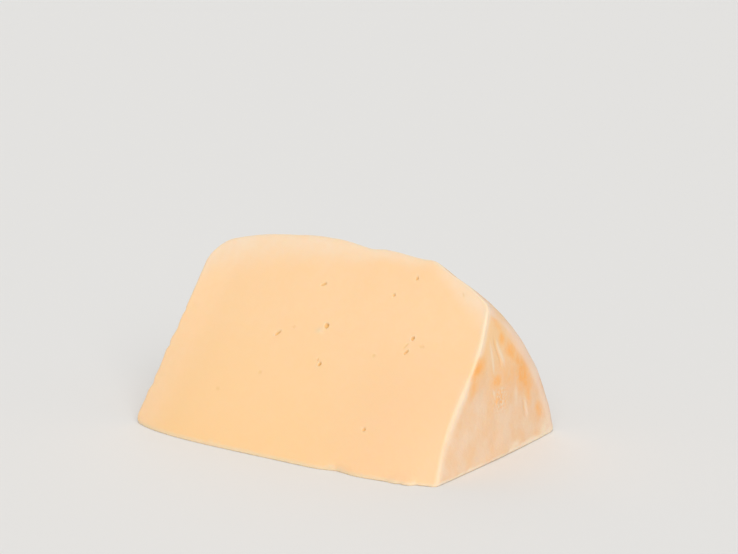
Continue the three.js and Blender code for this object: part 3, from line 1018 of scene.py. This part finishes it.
class CHEESE_OT_wedge(bpy.types.Operator):
    """Builds the wedge with its eyes, rind and material"""

    bl_idname = "cheese.wedge"
    bl_label = "Build Wedge"

    def execute(self, context):
        points, masks = wedge_surface(millimetres(context.scene.wedge_sizes))
        wedge = bpy.data.objects.new("sardo_wedge", closed_mesh("sardo_wedge", points + ORIGIN, masks))
        wedge.data.materials.append(cheese_material(context.scene.cheese_colours))
        context.scene.collection.objects.link(wedge)
        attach(wedge, "root")
        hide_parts("cheese_wedge")
        return {"FINISHED"}


def add_floor(scene, settings):
    """A flat square."""
    mesh = bpy.data.meshes.new("floor")
    corners = np.array([(-1, -1, 0), (1, -1, 0), (1, 1, 0), (-1, 1, 0)]) * FLOOR_HALF
    mesh.from_pydata(corners.tolist(), [], [(0, 1, 2, 3)])
    mesh.materials.append(floor_material(settings.floor_colour))
    floor = bpy.data.objects.new("floor", mesh)
    scene.collection.objects.link(floor)


def add_sky(scene, settings):
    """A plain white sky."""
    scene.world = bpy.data.worlds.new("sky")
    scene.world.use_nodes = True
    background = scene.world.node_tree.nodes["Background"]
    background.inputs["Color"].default_value = (1, 1, 1, 1)
    background.inputs["Strength"].default_value = settings.world_strength


def add_light(scene, name, direction, energy):
    """A wide far light from an azimuth and a height in degrees."""
    azimuth, height = direction
    data = bpy.data.lights.new(name, "SUN")
    data.angle = math.radians(LIGHT_WIDTH)
    data.energy = energy
    light = bpy.data.objects.new(name, data)
    light.rotation_euler = (math.radians(90 - height), 0, math.radians(azimuth))
    scene.collection.objects.link(light)


def add_camera(scene, settings):
    """A camera at a distance from its aim, in the direction of its azimuth and elevation."""
    a, e = settings.azimuth, settings.elevation
    back = Vector((math.sin(a) * math.cos(e), -math.cos(a) * math.cos(e), math.sin(e)))
    right = Vector((math.cos(a), math.sin(a), 0))
    aim = Vector(ORIGIN) + Vector(AIM.point) + right * AIM.right + back.cross(right) * AIM.up
    camera = bpy.data.objects.new("camera", bpy.data.cameras.new("camera"))
    camera.data.sensor_width = SENSOR
    camera.data.lens = settings.lens
    camera.location = aim / MM + back * settings.distance
    camera.rotation_euler = back.to_track_quat("Z", "Y").to_euler()
    scene.collection.objects.link(camera)
    scene.camera = camera


class CHEESE_OT_stage(bpy.types.Operator):
    """Builds the pale floor, the soft lights and the camera"""

    bl_idname = "cheese.stage"
    bl_label = "Build Stage"

    def execute(self, context):
        scene, settings = context.scene, context.scene.cheese_stage
        add_floor(scene, settings)
        add_sky(scene, settings)
        add_light(scene, "key", KEY_LIGHT, settings.key_strength)
        add_light(scene, "fill", FILL_LIGHT, settings.fill_strength)
        add_camera(scene, settings)
        scene.view_settings.view_transform = "Standard"
        return {"FINISHED"}


class CHEESE_PT_panel(bpy.types.Panel):
    """Sizes, colours and stage of the wedge"""

    bl_label = "Sardo Wedge"
    bl_idname = "CHEESE_PT_panel"
    bl_space_type = "VIEW_3D"
    bl_region_type = "UI"
    bl_category = "Sardo"

    def draw(self, context):
        pieces = {"cheese.wedge": ("wedge_sizes", "cheese_colours"), "cheese.stage": ("cheese_stage",)}
        for operator, groups in pieces.items():
            for settings in (getattr(context.scene, group) for group in groups):
                for name in settings.__annotations__:
                    self.layout.prop(settings, name)
            self.layout.operator(operator)


CLASSES = (WedgeSizes, CheeseColours, StageSettings, CHEESE_OT_wedge, CHEESE_OT_stage, CHEESE_PT_panel)


def register():
    for cls in CLASSES:
        bpy.utils.register_class(cls)
    bpy.types.Scene.wedge_sizes = bpy.props.PointerProperty(type=WedgeSizes)
    bpy.types.Scene.cheese_colours = bpy.props.PointerProperty(type=CheeseColours)
    bpy.types.Scene.cheese_stage = bpy.props.PointerProperty(type=StageSettings)


def unregister():
    for name in ("wedge_sizes", "cheese_colours", "cheese_stage"):
        delattr(bpy.types.Scene, name)
    for cls in reversed(CLASSES):
        bpy.utils.unregister_class(cls)


def main():
    register()
    bpy.ops.cheese.wedge()
    bpy.ops.cheese.stage()


if __name__ == "__main__":
    main()
